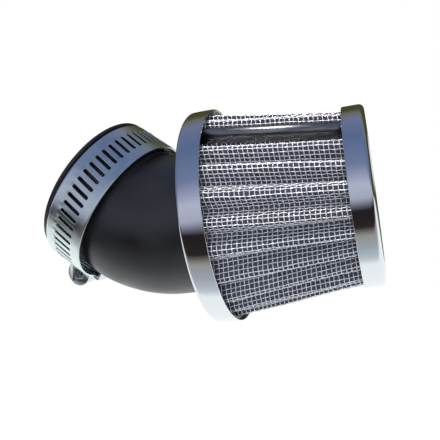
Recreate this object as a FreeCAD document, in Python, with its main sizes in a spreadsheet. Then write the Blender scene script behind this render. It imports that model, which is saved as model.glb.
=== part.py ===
"""Clamp-on pod air filter for a motorcycle carburettor.

A moulded rubber elbow pushes over the carburettor spigot and is held there by a worm-drive
band clamp. Its other end carries a round, slightly tapering filter element: a pleated pack of
wire cloth and gauze between a chromed base ring and a chromed end cap.

Frame: millimetres, origin at the centre of the neck's mouth. +X runs along the canister's axis
towards the end cap, +Z is up, and the bend lies in the XZ plane, so the neck rises towards -X.
"""
import FreeCAD, Part
import Sketcher
import math
import os

Vector = FreeCAD.Vector

doc = FreeCAD.newDocument("pod_air_filter")

# ---------------------------------------------------------------------------------------------
# Driving dimensions, in millimetres and degrees
# ---------------------------------------------------------------------------------------------

SIZES = (
    # rubber elbow
    ("neck_bore_radius", 21.0, "fits a 42 mm spigot"),
    ("neck_wall", 2.6, "wall of the neck under the clamp"),
    ("neck_seat_radius", "=neck_bore_radius + neck_wall", "outside of the neck under the clamp"),
    ("lip_height", 2.2, "height of the lip that keeps the clamp on the neck"),
    ("lip_radius", "=neck_seat_radius + lip_height", "outside of the lip"),
    ("lip_width", 1.4, "length of the lip along the neck"),
    ("bend_angle", 40.0, "angle between the neck and the canister"),
    ("elbow_wall", 2.5, "wall of the elbow"),
    ("elbow_radius", "=neck_bore_radius + elbow_wall", "outside of the elbow"),
    ("elbow_offset", 0.5, "extra wall on the outside of the bend"),
    ("bend_room", 2.5, "inside of the bend to the centre it turns about"),
    ("bend_radius", "=elbow_radius + bend_room", "centre line of the bore through the bend"),
    ("neck_straight", 16.1368, "straight part of the neck, from its mouth"),
    ("neck_run", "=neck_straight + bend_radius * tan(bend_angle / 2)",
     "mouth to the point where the two axes cross"),
    ("canister_straight", 11.1368, "straight part of the elbow behind the base ring"),
    ("canister_run", "=canister_straight + bend_radius * tan(bend_angle / 2)",
     "that point to the back of the base ring"),
    # chromed base ring and end cap
    ("steel", 0.6, "sheet of the base ring and the end cap"),
    ("ring_radius", 35.0, "outside of the base ring"),
    ("flange_inset", 4.0, "rubber flange inside the base ring's outside"),
    ("flange_radius", "=ring_radius - flange_inset", "rubber flange inside the base ring"),
    ("flange_thickness", 2.0, "rubber flange inside the base ring"),
    ("ring_width", 7.5, "depth of the base ring's skirt"),
    ("ring_hole_room", 0.6, "elbow to the ring's hole"),
    ("ring_hole_radius", "=elbow_radius + ring_hole_room", "hole that the elbow passes through"),
    ("corner_radius", 1.5, "pressed corner of the base ring and the end cap"),
    ("rim_gap", 39.8, "open length of the element between ring and cap"),
    ("cap_radius", 28.6, "outside of the end cap"),
    ("cap_depth", 6.7, "depth of the end cap"),
    ("cap_rim", 8.1, "raised rim round the end cap's centre panel"),
    ("cap_panel_radius", "=cap_radius - cap_rim", "sunk centre panel of the end cap"),
    ("cap_panel_depth", 0.5, "how far the centre panel is sunk"),
    # potting compound
    ("potting_recess", 1.2, "potting below the rim of its cup"),
    ("potting_floor", 1.0, "potting between the element's end and its cup"),
    ("potting_step", 1.0, "potting's hole outside the neck's bore"),
    ("potting_bore_radius", "=neck_bore_radius + potting_step", "hole through the potting at the base"),
    # pleated element
    ("pleat_count", 25.0, "number of pleats"),
    ("crest_inset_base", 1.8, "pleats inside the base ring's outside"),
    ("crest_radius_base", "=ring_radius - crest_inset_base", "over the pleats at the ring's rim"),
    ("crest_inset_cap", 0.9, "pleats inside the end cap's outside"),
    ("crest_radius_cap", "=cap_radius - crest_inset_cap", "over the pleats at the cap's rim"),
    ("pleat_depth_base", 3.8, "depth of the pleats at the base ring's rim"),
    ("pleat_depth_cap", 4.4, "depth of the pleats at the end cap's rim"),
    ("valley_round", 0.5, "rounding in a valley, outside"),
    ("screen_thickness", 0.5, "woven wire cloth"),
    ("gauze_thickness", 0.25, "one ply of gauze"),
    ("fold_round", 0.2, "rounding over a crest, on the inside of the pack"),
    ("crest_round", "=2 * (screen_thickness + gauze_thickness) + fold_round",
     "rounding over a crest, outside"),
    ("seam_angle", 47.0, "seam, from the top towards -Y"),
    ("seam_steel", 0.4, "sheet of the seam clip"),
    ("seam_leg", 2.6, "length of the seam clip's legs"),
    ("seam_clearance", 0.05, "seam clip to the wire cloth"),
    ("seam_end_gap", 0.3, "seam clip to the end cap's rim"),
    # band clamp
    ("band_width", 14.4, "width of the clamp's band"),
    ("band_thickness", 0.65, "thickness of the clamp's band"),
    ("band_setback", 2.5, "neck's mouth to the band"),
    ("clamp_droop", 0.5, "how far the loose clamp hangs below the neck's axis"),
    ("clamp_slack", 0.8, "neck to the inside of the loose clamp"),
    ("saddle_inner_radius", "=neck_seat_radius + clamp_slack", "inside of the clamp"),
    ("saddle_thickness", 0.6, "saddle plate"),
    ("saddle_gap", 0.05, "saddle plate to the band's fixed end"),
    ("slide_gap", 0.1, "band's fixed end to its sliding end"),
    ("housing_angle", 161.0, "place of the worm housing round the neck"),
    ("housing_length", 12.0, "worm housing along the band"),
    ("housing_wall", 0.9, "sheet of the worm housing"),
    ("housing_leg_gap", 0.15, "edge of the band to the housing's leg"),
    ("tongue_inside", 8.0, "fixed end of the band past the housing's middle"),
    ("tongue_reach", 131.0, "fixed end of the band back from the housing"),
    ("tail_reach", 45.0, "free end of the strap back from the housing"),
    ("strap_reach", 269.0, "strap forward from the housing to its root"),
    ("slot_pitch", 6.35, "angle from one worm slot to the next"),
    ("slot_span", 7.0, "length of a worm slot"),
    ("slot_width", 1.15, "width of a worm slot"),
    ("slots_back", 6.0, "worm slots from the housing towards the tail"),
    ("slots_forward", 41.0, "worm slots from the housing towards the root"),
    ("worm_radius", 3.4, "outside of the worm's thread"),
    ("thread_height", 0.9, "height of the worm's thread"),
    ("thread_crest", 0.4, "width of the thread at its crest"),
    ("thread_root", 1.2, "width of the thread at its root"),
    ("thread_turns", 3.0, "turns of the worm's thread"),
    ("worm_mesh", 0.5, "how deep the thread reaches into the slots"),
    ("worm_clearance", 0.25, "thread to the inside of the housing"),
    ("journal_radius", 1.6, "pilot at the worm's tip"),
    ("journal_clearance", 0.05, "screw to its holes in the housing"),
    ("journal_proud", 0.7, "pilot standing out of the housing"),
    ("head_gap", 2.4, "housing to the underside of the screw's head"),
    ("head_flats", 7.0, "hexagon across its flats"),
    ("head_height", 3.4, "height of the hexagon"),
    ("head_slot_width", 1.1, "screwdriver slot"),
    ("head_slot_depth", 1.3, "screwdriver slot"),
    ("tip_slot_width", 0.5, "forming mark across the worm's tip"),
)

ALIASES = [entry[0] for entry in SIZES]

sheet = doc.addObject("Spreadsheet::Sheet", "Sizes")
for row, (alias, value, note) in enumerate(SIZES, start=1):
    sheet.set("A%d" % row, alias)
    sheet.set("B%d" % row, str(value))
    sheet.set("C%d" % row, note)
    sheet.setAlias("B%d" % row, alias)
doc.recompute()


def size(alias):
    """One driving dimension."""
    return float(sheet.get(alias))


def amount(words):
    """A sum of driving dimensions, such as 'ring_width - steel', as a number."""
    total = 0.0
    sign = 1.0
    for word in words.split():
        if word == "+":
            sign = 1.0
        elif word == "-":
            sign = -1.0
        elif word in ALIASES:
            total += sign * size(word)
        else:
            total += sign * float(word)
    return total


def formula(words):
    """The same sum as an expression that reads the sheet."""
    named = ["Sizes." + word if word in ALIASES else word for word in words.split()]
    return " ".join(named)


# ---------------------------------------------------------------------------------------------
# Frames: the canister's, with its origin where the two axes cross, and the neck's
# ---------------------------------------------------------------------------------------------

BEND_X = "Sizes.neck_run * cos(Sizes.bend_angle)"
BEND_Z = "-Sizes.neck_run * sin(Sizes.bend_angle)"
TANGENT = "Sizes.bend_radius * tan(Sizes.bend_angle / 2)"
Y_AXIS = Vector(0, 1, 0)


def bend_point():
    """Where the neck's axis crosses the canister's axis."""
    angle = math.radians(size("bend_angle"))
    return Vector(size("neck_run") * math.cos(angle), 0, -size("neck_run") * math.sin(angle))


def put_on_canister(thing):
    """Carry an object from its own frame to the canister's frame."""
    thing.Placement = FreeCAD.Placement(bend_point(), FreeCAD.Rotation())
    thing.setExpression("Placement.Base.x", BEND_X)
    thing.setExpression("Placement.Base.z", BEND_Z)


def put_on_clamp(thing):
    """Carry an object from the clamp's own frame, whose Z axis is the neck's, to its place."""
    along = "(Sizes.band_setback + Sizes.band_width / 2)"
    lean = FreeCAD.Rotation(Vector(0, -1, 0), 90 - size("bend_angle"))
    thing.Placement = FreeCAD.Placement(Vector(), lean)
    thing.setExpression("Placement.Rotation.Angle", "90 - Sizes.bend_angle")
    thing.setExpression(
        "Placement.Base.x",
        along + " * cos(Sizes.bend_angle) - Sizes.clamp_droop * sin(Sizes.bend_angle)")
    thing.setExpression(
        "Placement.Base.z",
        "-" + along + " * sin(Sizes.bend_angle) - Sizes.clamp_droop * cos(Sizes.bend_angle)")


def put_at_housing(thing):
    """Carry a piece made at angle 0 of the clamp's frame to the worm housing's place."""
    angle = math.radians(size("bend_angle"))
    along = amount("band_setback") + size("band_width") / 2
    droop = size("clamp_droop")
    centre = Vector(
        along * math.cos(angle) - droop * math.sin(angle),
        0,
        -along * math.sin(angle) - droop * math.cos(angle))
    lean = FreeCAD.Rotation(Vector(0, -1, 0), 90 - size("bend_angle"))
    round_neck = FreeCAD.Rotation(Vector(0, 0, 1), size("housing_angle"))
    thing.Placement = FreeCAD.Placement(centre, lean * round_neck)


def cylinder(name, radius, height):
    """A cylinder along its own Z, with its sizes read from the sheet."""
    part = doc.addObject("Part::Cylinder", name)
    part.setExpression("Radius", radius)
    part.setExpression("Height", height)
    return part


def fused(name, pieces):
    """One solid from several."""
    part = doc.addObject("Part::MultiFuse", name)
    part.Shapes = pieces
    return part


def cut(name, base, tool):
    """The base with the tool taken out of it."""
    part = doc.addObject("Part::Cut", name)
    part.Base = base
    part.Tool = tool
    return part


def shaped(name, shape):
    """A piece whose shape is worked out below from the sheet's sizes."""
    part = doc.addObject("Part::Feature", name)
    part.Shape = shape
    return part


# ---------------------------------------------------------------------------------------------
# Turned sheet-metal and potted pieces: a profile turned about the canister's axis
# ---------------------------------------------------------------------------------------------


def origin_feature(body, role):
    """One of a body's own origin planes or axes."""
    for feature in body.Origin.OriginFeatures:
        if feature.Role == role:
            return feature
    raise ValueError("no " + role)


def profile_sketch(body, corners):
    """A closed outline whose corners, (x, radius), are sums of driving dimensions."""
    sketch = body.newObject("Sketcher::SketchObject", body.Name + "_profile")
    sketch.AttachmentSupport = [(origin_feature(body, "XZ_Plane"), "")]
    sketch.MapMode = "FlatFace"
    points = [Vector(amount(x), amount(r), 0) for x, r in corners]
    count = len(points)
    for index in range(count):
        line = Part.LineSegment(points[index], points[(index + 1) % count])
        sketch.addGeometry(line, False)
    for index in range(count):
        following = (index + 1) % count
        sketch.addConstraint(Sketcher.Constraint("Coincident", index, 2, following, 1))
    for index, (x, r) in enumerate(corners):
        along = sketch.addConstraint(
            Sketcher.Constraint("DistanceX", -1, 1, index, 1, points[index].x))
        sketch.setExpression("Constraints[%d]" % along, formula(x))
        if r == "0":
            sketch.addConstraint(Sketcher.Constraint("PointOnObject", index, 1, -1))
        else:
            out = sketch.addConstraint(
                Sketcher.Constraint("DistanceY", -1, 1, index, 1, points[index].y))
            sketch.setExpression("Constraints[%d]" % out, formula(r))
    return sketch


def circle_edges(shape, rims):
    """Names of the round edges that lie at the given (x, radius) places."""
    names = []
    for number, edge in enumerate(shape.Edges, start=1):
        if not isinstance(edge.Curve, Part.Circle):
            continue
        for x, r in rims:
            same_x = abs(edge.Curve.Center.x - amount(x)) < 1e-4
            same_r = abs(edge.Curve.Radius - amount(r)) < 1e-4
            if same_x and same_r:
                names.append("Edge%d" % number)
    return names


def turned(name, corners, rounds=()):
    """A body turned about the canister's axis, with some of its round edges rounded."""
    body = doc.addObject("PartDesign::Body", name)
    sketch = profile_sketch(body, corners)
    turn = body.newObject("PartDesign::Revolution", name + "_turn")
    turn.Profile = sketch
    turn.ReferenceAxis = (origin_feature(body, "X_Axis"), [""])
    turn.Angle = 360
    doc.recompute()
    for step, (radius, rims) in enumerate(rounds, start=1):
        plain = body.Tip
        fillet = body.newObject("PartDesign::Fillet", "%s_round_%d" % (name, step))
        fillet.Base = (plain, circle_edges(plain.Shape, rims))
        fillet.Radius = amount(radius)
        fillet.setExpression("Radius", formula(radius))
        doc.recompute()
    return body


def base_ring():
    """Chromed steel cup round the base of the element, with a hole for the elbow."""
    back = "canister_run"
    front = "canister_run + ring_width"
    floor = "canister_run + steel"
    wall = "ring_radius - steel"
    corners = (
        (back, "ring_hole_radius"),
        (back, "ring_radius"),
        (front, "ring_radius"),
        (front, wall),
        (floor, wall),
        (floor, "ring_hole_radius"),
    )
    rounds = (
        ("corner_radius", ((back, "ring_radius"),)),
        ("corner_radius - steel", ((floor, wall),)),
    )
    body = turned("base_ring", corners, rounds)
    put_on_canister(body)
    return body


def end_cap():
    """Chromed steel cup over the outer end, with a slightly sunk centre panel."""
    rim = "canister_run + ring_width + rim_gap"
    face = rim + " + cap_depth"
    floor = face + " - steel"
    wall = "cap_radius - steel"
    panel_inside = "cap_panel_radius - steel"
    corners = (
        (rim, "cap_radius"),
        (face, "cap_radius"),
        (face, "cap_panel_radius"),
        (face + " - cap_panel_depth", panel_inside),
        (face + " - cap_panel_depth", "0"),
        (floor + " - cap_panel_depth", "0"),
        (floor + " - cap_panel_depth", "cap_panel_radius"),
        (floor, "cap_panel_radius + steel"),
        (floor, wall),
        (rim, wall),
    )
    rounds = (
        ("corner_radius", ((face, "cap_radius"),)),
        ("corner_radius - steel", ((floor, wall),)),
    )
    body = turned("end_cap", corners, rounds)
    put_on_canister(body)
    return body


def base_potting(pack):
    """Black compound poured into the base ring round the element's end."""
    back = "canister_run + steel + flange_thickness"
    front = "canister_run + ring_width - potting_recess"
    corners = (
        (back, "potting_bore_radius"),
        (back, "ring_radius - steel"),
        (front, "ring_radius - steel"),
        (front, "potting_bore_radius"),
    )
    body = turned("base_potting_blank", corners)
    put_on_canister(body)
    return cut("base_potting", body, pack)


def cap_potting(pack):
    """Black compound poured into the end cap round the element's other end."""
    rim = "canister_run + ring_width + rim_gap"
    near = rim + " + potting_recess"
    floor = rim + " + cap_depth - steel"
    panel = floor + " - cap_panel_depth"
    wall = "cap_radius - steel"
    corners = (
        (near, "0"),
        (near, wall),
        (floor, wall),
        (floor, "cap_panel_radius + steel"),
        (panel, "cap_panel_radius"),
        (panel, "0"),
    )
    rounds = (("corner_radius - steel", ((floor, wall),)),)
    body = turned("cap_potting_blank", corners, rounds)
    put_on_canister(body)
    return cut("cap_potting", body, pack)


# ---------------------------------------------------------------------------------------------
# Rubber elbow
# ---------------------------------------------------------------------------------------------


def along_neck(thing, start):
    """Lay a cylinder on the neck's axis, inwards from a distance behind the mouth."""
    thing.Placement = FreeCAD.Placement(Vector(), FreeCAD.Rotation(Y_AXIS, size("bend_angle") + 90))
    thing.setExpression("Placement.Rotation.Angle", "Sizes.bend_angle + 90")
    thing.setExpression("Placement.Base.x", start + " * cos(Sizes.bend_angle)")
    thing.setExpression("Placement.Base.z", "-" + start + " * sin(Sizes.bend_angle)")
    return thing


def along_canister(thing, start, drop):
    """Lay a cylinder on the canister's axis, from a distance past the bend point."""
    thing.Placement = FreeCAD.Placement(bend_point(), FreeCAD.Rotation(Y_AXIS, 90))
    thing.setExpression("Placement.Base.x", BEND_X + " + " + start)
    thing.setExpression("Placement.Base.z", BEND_Z + " - " + drop)
    return thing


def bend(name, radius, offset):
    """Part of a torus, from the canister's side of the bend to the neck's side."""
    part = doc.addObject("Part::Torus", name)
    turn = FreeCAD.Rotation(Vector(0, 0, -1), Vector(-1, 0, 0), Vector(0, 1, 0), "ZXY")
    part.Placement = FreeCAD.Placement(bend_point(), turn)
    part.setExpression("Radius1", "Sizes.bend_radius + " + offset)
    part.setExpression("Radius2", radius)
    part.setExpression("Angle3", "Sizes.bend_angle")
    part.setExpression("Placement.Base.x", BEND_X + " + " + TANGENT)
    part.setExpression("Placement.Base.z", BEND_Z + " + Sizes.bend_radius")
    return part


def rubber_neck():
    """Moulded elbow: lip, clamp seat, bend, and a flange that sits inside the base ring."""
    straight = "(Sizes.neck_run - " + TANGENT + ")"
    stub = "(Sizes.canister_run - " + TANGENT + ")"
    inner = "Sizes.neck_bore_radius"
    flange_back = "(Sizes.canister_run + Sizes.steel)"
    flange_front = "(Sizes.steel + Sizes.flange_thickness)"

    lip = along_neck(cylinder("neck_lip", "Sizes.lip_radius", "Sizes.lip_width"), "0")
    seat = along_neck(cylinder("neck_seat", "Sizes.neck_seat_radius", straight), "0")
    elbow = bend("neck_elbow", "Sizes.elbow_radius", "Sizes.elbow_offset")
    tail = along_canister(
        cylinder("neck_stub", "Sizes.elbow_radius", stub + " + " + flange_front),
        TANGENT, "Sizes.elbow_offset")
    flange = along_canister(
        cylinder("neck_flange", "Sizes.flange_radius", "Sizes.flange_thickness"),
        flange_back, "0")
    outside = fused("neck_outside", [seat, lip, elbow, tail, flange])

    mouth_bore = along_neck(cylinder("neck_mouth_bore", inner, straight), "0")
    bend_bore = bend("neck_bend_bore", inner, "0")
    tail_bore = along_canister(
        cylinder("neck_tail_bore", inner, stub + " + " + flange_front), TANGENT, "0")
    inside = fused("neck_inside", [mouth_bore, bend_bore, tail_bore])
    return cut("rubber_neck", outside, inside)


# ---------------------------------------------------------------------------------------------
# Pleated element
# ---------------------------------------------------------------------------------------------


def element_span():
    """Where the pack starts and ends along the canister's axis."""
    start = amount("canister_run + steel + flange_thickness + potting_floor")
    end = amount("canister_run + ring_width + rim_gap + cap_depth - steel - potting_floor")
    return start, end - size("cap_panel_depth")


def taper(x, at_base, at_cap):
    """A size that changes evenly from the base ring's rim to the end cap's rim."""
    share = (x - amount("canister_run + ring_width")) / size("rim_gap")
    return size(at_base) + (size(at_cap) - size(at_base)) * share


def polar(x, radius, angle):
    """A point at a radius and an angle from the top towards -Y."""
    return Vector(x, -radius * math.sin(angle), radius * math.cos(angle))


def flank_points(x, depth_in):
    """Where the crest's arc and the valley's arc meet the straight flank, as (radius, angle)
    offsets from the crest, for the surface that lies depth_in inside the pack."""
    half_pitch = math.pi / size("pleat_count")
    top = taper(x, "crest_radius_base", "crest_radius_cap")
    depth = taper(x, "pleat_depth_base", "pleat_depth_cap")
    crest_centre = complex(top - size("crest_round"), 0)
    valley_centre = (top - depth + size("valley_round")) * complex(
        math.cos(half_pitch), math.sin(half_pitch))
    between = valley_centre - crest_centre
    along = between / abs(between)
    lean = math.asin((size("crest_round") + size("valley_round")) / abs(between))
    normal = along * complex(math.sin(lean), -math.cos(lean))
    crest_round = size("crest_round") - depth_in
    valley_round = size("valley_round") + depth_in
    crest_end = crest_centre + crest_round * normal
    valley_end = valley_centre - valley_round * normal
    crest_top = abs(crest_centre) + crest_round
    valley_bottom = abs(valley_centre) - valley_round
    return crest_top, crest_end, valley_end, valley_bottom


def spot(x, seam, place):
    """A point given as a complex number in the plane of one pleat, whose crest is at seam."""
    radius = abs(place)
    angle = math.atan2(place.imag, place.real)
    return polar(x, radius, seam + angle)


def pleat_wire(x, depth_in):
    """Outline of the pleated surface that lies depth_in inside the pack."""
    crest_top, crest_end, valley_end, valley_bottom = flank_points(x, depth_in)
    pitch = 2 * math.pi / size("pleat_count")
    first = math.radians(size("seam_angle"))
    edges = []
    for number in range(int(size("pleat_count"))):
        crest = first + number * pitch
        over = Part.Arc(
            spot(x, crest, crest_end.conjugate()),
            polar(x, crest_top, crest),
            spot(x, crest, crest_end))
        edges.append(over.toShape())
        down = Part.LineSegment(spot(x, crest, crest_end), spot(x, crest, valley_end))
        edges.append(down.toShape())
        under = Part.Arc(
            spot(x, crest, valley_end),
            polar(x, valley_bottom, crest + pitch / 2),
            spot(x, crest + pitch, valley_end.conjugate()))
        edges.append(under.toShape())
        rise = Part.LineSegment(
            spot(x, crest + pitch, valley_end.conjugate()),
            spot(x, crest + pitch, crest_end.conjugate()))
        edges.append(rise.toShape())
    return Part.Wire(edges)


def pleated_block(depth_in):
    """Everything inside one pleated surface, as a tapering solid."""
    start, end = element_span()
    return Part.makeLoft([pleat_wire(start, depth_in), pleat_wire(end, depth_in)], True, True)


def pleated_layer(name, outer_depth, inner_depth):
    """One closed layer of the pack, between two depths."""
    layer = shaped(name, pleated_block(outer_depth).cut(pleated_block(inner_depth)))
    put_on_canister(layer)
    return layer


def layer_depths():
    """Depth of every layer's outer and inner surface, from the outside of the pack inwards."""
    layers = (
        ("outer_screen", size("screen_thickness")),
        ("outer_gauze", size("gauze_thickness")),
        ("inner_gauze", size("gauze_thickness")),
        ("inner_screen", size("screen_thickness")),
    )
    depths = []
    reached = 0.0
    for name, thickness in layers:
        depths.append((name, reached, reached + thickness))
        reached += thickness
    return depths


def seam_section(x):
    """Section of the seam clip: a crest's outline with legs, thickened outwards."""
    near = -size("seam_clearance")
    far = near - size("seam_steel")
    seam = math.radians(size("seam_angle"))
    inner_top, inner_end, inner_foot, _ = flank_points(x, near)
    outer_top, outer_end, outer_foot, _ = flank_points(x, far)
    down = (inner_foot - inner_end) / abs(inner_foot - inner_end)
    inner_leg = inner_end + down * size("seam_leg")
    outer_leg = outer_end + down * size("seam_leg")

    def here(place):
        return spot(x, seam, place)

    edges = (
        Part.Arc(here(outer_end.conjugate()), polar(x, outer_top, seam), here(outer_end)),
        Part.LineSegment(here(outer_end), here(outer_leg)),
        Part.LineSegment(here(outer_leg), here(inner_leg)),
        Part.LineSegment(here(inner_leg), here(inner_end)),
        Part.Arc(here(inner_end), polar(x, inner_top, seam), here(inner_end.conjugate())),
        Part.LineSegment(here(inner_end.conjugate()), here(inner_leg.conjugate())),
        Part.LineSegment(here(inner_leg.conjugate()), here(outer_leg.conjugate())),
        Part.LineSegment(here(outer_leg.conjugate()), here(outer_end.conjugate())),
    )
    return Part.Wire([edge.toShape() for edge in edges])


def seam_clip():
    """Folded steel strip that closes the pack where its two ends meet, over one crest."""
    start = amount("canister_run + ring_width - potting_recess")
    end = amount("canister_run + ring_width + rim_gap - seam_end_gap")
    clip = shaped("seam_clip", Part.makeLoft([seam_section(start), seam_section(end)], True, True))
    put_on_canister(clip)
    return clip


# ---------------------------------------------------------------------------------------------
# Band clamp, in its own frame: Z along the neck towards the mouth, angles about Z
# ---------------------------------------------------------------------------------------------

TONGUE_IN = "saddle_inner_radius + saddle_thickness + saddle_gap"
TONGUE_OUT = TONGUE_IN + " + band_thickness"
STRAP_IN = TONGUE_OUT + " + slide_gap"
STRAP_OUT = STRAP_IN + " + band_thickness"


def band_arc(name, inside, outside, start, sweep):
    """A curved strip of the band's width."""
    outer = cylinder(name + "_outer", formula(outside), "Sizes.band_width")
    outer.setExpression("Angle", formula(sweep))
    outer.Placement = FreeCAD.Placement(Vector(), FreeCAD.Rotation(Vector(0, 0, 1), amount(start)))
    outer.setExpression("Placement.Rotation.Angle", formula(start))
    inner = cylinder(name + "_inner", formula(inside), "Sizes.band_width")
    for piece in (outer, inner):
        piece.setExpression("Placement.Base.z", "-Sizes.band_width / 2")
    strip = cut(name + "_strip", outer, inner)
    return strip


def strap_mid_radius():
    """Radius at the middle of the strap's thickness."""
    return (amount(STRAP_IN) + amount(STRAP_OUT)) / 2


def worm_lead():
    """Advance of the worm in one turn: exactly one slot of the strap."""
    return math.radians(size("slot_pitch")) * strap_mid_radius()


def slot_lean():
    """Lean of the slots, equal to the lead angle of the worm where it meets the strap."""
    meeting_radius = size("worm_radius") - size("worm_mesh") / 2
    return math.degrees(math.atan(worm_lead() / (2 * math.pi * meeting_radius)))


def slot_cutter():
    """A round-ended prism that cuts one slot at angle 0."""
    half = size("slot_width") / 2
    reach = size("slot_span") / 2 - half
    inside = amount(STRAP_IN) - 1
    depth = size("band_thickness") + 2
    right_low = Vector(inside, half, -reach)
    right_high = Vector(inside, half, reach)
    left_low = Vector(inside, -half, -reach)
    left_high = Vector(inside, -half, reach)
    outline = Part.Wire([
        Part.LineSegment(right_low, right_high).toShape(),
        Part.Arc(right_high, Vector(inside, 0, reach + half), left_high).toShape(),
        Part.LineSegment(left_high, left_low).toShape(),
        Part.Arc(left_low, Vector(inside, 0, -reach - half), right_low).toShape(),
    ])
    prism = Part.Face(outline).extrude(Vector(depth, 0, 0))
    prism.rotate(Vector(), Vector(1, 0, 0), -slot_lean())
    return prism


def clamp_strap():
    """Free part of the band, with the leaning slots that the worm drives."""
    start = "housing_angle - tail_reach"
    strip = band_arc("clamp_strap", STRAP_IN, STRAP_OUT, start, "tail_reach + strap_reach")
    cutters = []
    first = -int(size("slots_back"))
    last = int(size("slots_forward"))
    for number in range(first, last + 1):
        cutter = slot_cutter()
        angle = size("housing_angle") + number * size("slot_pitch")
        cutter.rotate(Vector(), Vector(0, 0, 1), angle)
        cutters.append(cutter)
    slots = shaped("clamp_strap_slots", Part.makeCompound(cutters))
    strap = cut("clamp_strap", strip, slots)
    put_on_clamp(strap)
    return strap


def clamp_tongue():
    """Fixed end of the band, which lies under the strap and is held by the housing."""
    start = "housing_angle - tongue_reach"
    strip = band_arc("clamp_tongue", TONGUE_IN, TONGUE_OUT, start, "tongue_reach + tongue_inside")
    put_on_clamp(strip)
    return strip


def turned_sector(inside, outside, low, high, half_angle):
    """Part of a ring about Z, centred on angle 0."""
    outer = Part.makeCylinder(
        outside, high - low, Vector(0, 0, low), Vector(0, 0, 1), 2 * half_angle)
    outer.rotate(Vector(), Vector(0, 0, 1), -half_angle)
    return outer.cut(Part.makeCylinder(inside, high - low, Vector(0, 0, low)))


def housing_half_angle():
    """Half of the angle that the housing covers on the band."""
    return math.degrees(math.asin(size("housing_length") / 2 / amount(STRAP_OUT)))


def clamp_saddle():
    """Curved plate under the band, between the housing's legs."""
    half = size("band_width") / 2 + size("housing_leg_gap")
    inside = size("saddle_inner_radius")
    plate = turned_sector(
        inside, inside + size("saddle_thickness"), -half, half, housing_half_angle())
    saddle = shaped("clamp_saddle", plate)
    put_at_housing(saddle)
    return saddle


def worm_axis_radius():
    """Distance of the worm's axis from the clamp's axis."""
    return amount(STRAP_OUT) + size("worm_radius") - size("worm_mesh")


def rod(radius, start, end):
    """A round bar on the worm's axis, between two places along it."""
    return Part.makeCylinder(
        radius, end - start, Vector(worm_axis_radius(), start, 0), Vector(0, 1, 0))


def block(x_low, x_high, y_low, y_high, z_half):
    """A box that is centred across the band."""
    return Part.makeBox(
        x_high - x_low, y_high - y_low, 2 * z_half, Vector(x_low, y_low, -z_half))


def clamp_housing():
    """Pressed steel tunnel over the worm, with legs down both edges of the band."""
    half_length = size("housing_length") / 2
    half_angle = housing_half_angle()
    axis = worm_axis_radius()
    hollow = size("worm_radius") + size("worm_clearance")
    outside = hollow + size("housing_wall")
    strap_top = amount(STRAP_OUT) + size("slide_gap")
    leg_in = size("band_width") / 2 + size("housing_leg_gap")
    leg_out = leg_in + size("housing_wall")

    arch = rod(outside, -half_length, half_length)
    arch = arch.fuse(block(strap_top - 1, axis, -half_length, half_length, outside))
    flange = turned_sector(
        size("saddle_inner_radius"), strap_top + size("housing_wall"), -leg_out, leg_out, half_angle)
    body = arch.fuse(flange)

    band_room = Part.makeCylinder(strap_top, 2 * leg_in, Vector(0, 0, -leg_in))
    bore_start = -half_length + size("housing_wall")
    bore_end = half_length - size("housing_wall")
    tunnel = rod(hollow, bore_start, bore_end)
    tunnel = tunnel.fuse(block(strap_top - 2, axis, bore_start, bore_end, hollow))
    tip_hole = rod(
        size("journal_radius") + size("journal_clearance"), bore_end - 1, half_length + 1)
    neck_hole = rod(
        size("worm_radius") - size("thread_height") + size("journal_clearance"),
        -half_length - 1, bore_start + 1)
    for room in (band_room, tunnel, tip_hole, neck_hole):
        body = body.cut(room)
    housing = shaped("clamp_housing", body.removeSplitter())
    put_at_housing(housing)
    return housing


def worm_thread():
    """Right-handed thread, with a crest over the middle of the strap at angle 0."""
    lead = worm_lead()
    root = size("worm_radius") - size("thread_height")
    length = lead * size("thread_turns")
    buried = root - 0.3
    crest_half = size("thread_crest") / 2
    flare = (size("thread_root") / 2 - crest_half) / size("thread_height")
    foot_half = crest_half + flare * (size("worm_radius") - buried)
    corners = (
        Vector(buried, 0, -foot_half),
        Vector(size("worm_radius"), 0, -crest_half),
        Vector(size("worm_radius"), 0, crest_half),
        Vector(buried, 0, foot_half),
    )
    profile = Part.makePolygon(list(corners) + [corners[0]])
    helix = Part.makeHelix(lead, length, root)
    thread = Part.Wire(helix.Edges).makePipeShell([profile], True, True)
    # The helix starts on its own X axis. Centred on the worm, a whole or half number of turns
    # puts the middle of the thread on +X or on -X, so it is turned until that faces the strap.
    thread.translate(Vector(0, 0, -length / 2))
    thread.rotate(Vector(), Vector(0, 0, 1), 180 - 180 * size("thread_turns"))
    thread.rotate(Vector(), Vector(1, 0, 0), -90)
    thread.translate(Vector(worm_axis_radius(), 0, 0))
    return thread


def hexagon(start, end):
    """The screw's hexagon head, on the worm's axis."""
    corner = size("head_flats") / math.sqrt(3)
    points = []
    for number in range(7):
        angle = math.radians(60 * number)
        points.append(Vector(
            worm_axis_radius() + corner * math.cos(angle), start, corner * math.sin(angle)))
    return Part.Face(Part.makePolygon(points)).extrude(Vector(0, end - start, 0))


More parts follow.
